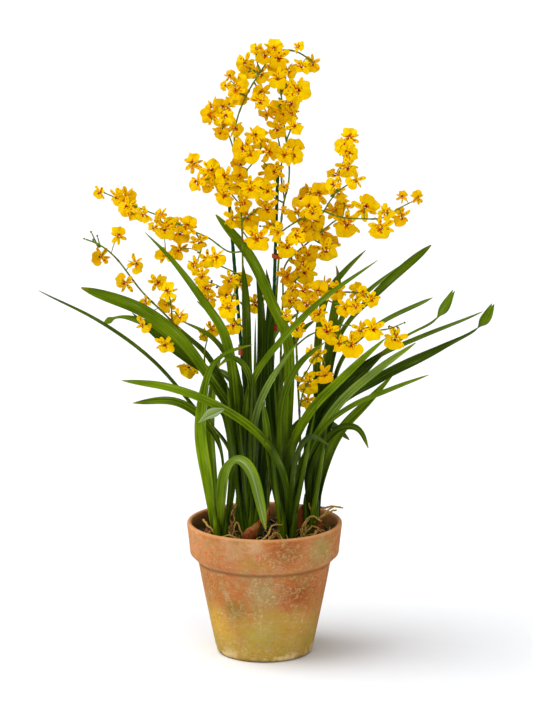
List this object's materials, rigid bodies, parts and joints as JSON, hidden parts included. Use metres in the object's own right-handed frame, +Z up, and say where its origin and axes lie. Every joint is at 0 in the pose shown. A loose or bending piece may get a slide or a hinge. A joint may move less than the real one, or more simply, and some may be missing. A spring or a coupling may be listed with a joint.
{
  "type": "potted oncidium orchid",
  "caption": "Flowering orchid with arching sprays of small blooms and strap leaves, in a tapered clay pot with a rim band.",
  "frame": {"origin": "centre of the pot's underside, on the surface that it stands on", "axes": "+Z up along the pot's axis, -Y towards the side seen first, +X to that side's right"},
  "size_m": [0.549, 0.3494, 0.7522],
  "materials": {
    "pot_clay": "unglazed weathered terracotta, matt, with olive algae low down and chalky lime bloom",
    "bark": "damp orchid bark chips, matt",
    "stake_plastic": "dark green plastic-coated stake, satin",
    "tie_plastic": "soft orange clip, satin",
    "leaf": "living leaf, satin and waxy, with long fine veins",
    "petal": "living petal, soft matt, yellow with red-brown marks at the callus"
  },
  "bodies": {
    "root": {"pot": "pot_clay", "growing_medium": "bark", "stake_left": "stake_plastic", "stake_right": "stake_plastic", "tie_left": "tie_plastic", "tie_right_low": "tie_plastic", "tie_right_high": "tie_plastic", "leafy_shoots_left": "leaf", "leafy_shoots_middle": "leaf", "leafy_shoots_centre": "leaf", "leafy_shoots_right": "leaf", "leafy_shoots_back": "leaf", "flower_spray_upper_left": "petal", "flower_spray_upper_middle": "petal", "flower_spray_upper_right": "petal", "flower_spray_lower_left": "petal", "flower_spray_lower_right": "petal"}
  },
  "joints": []
}
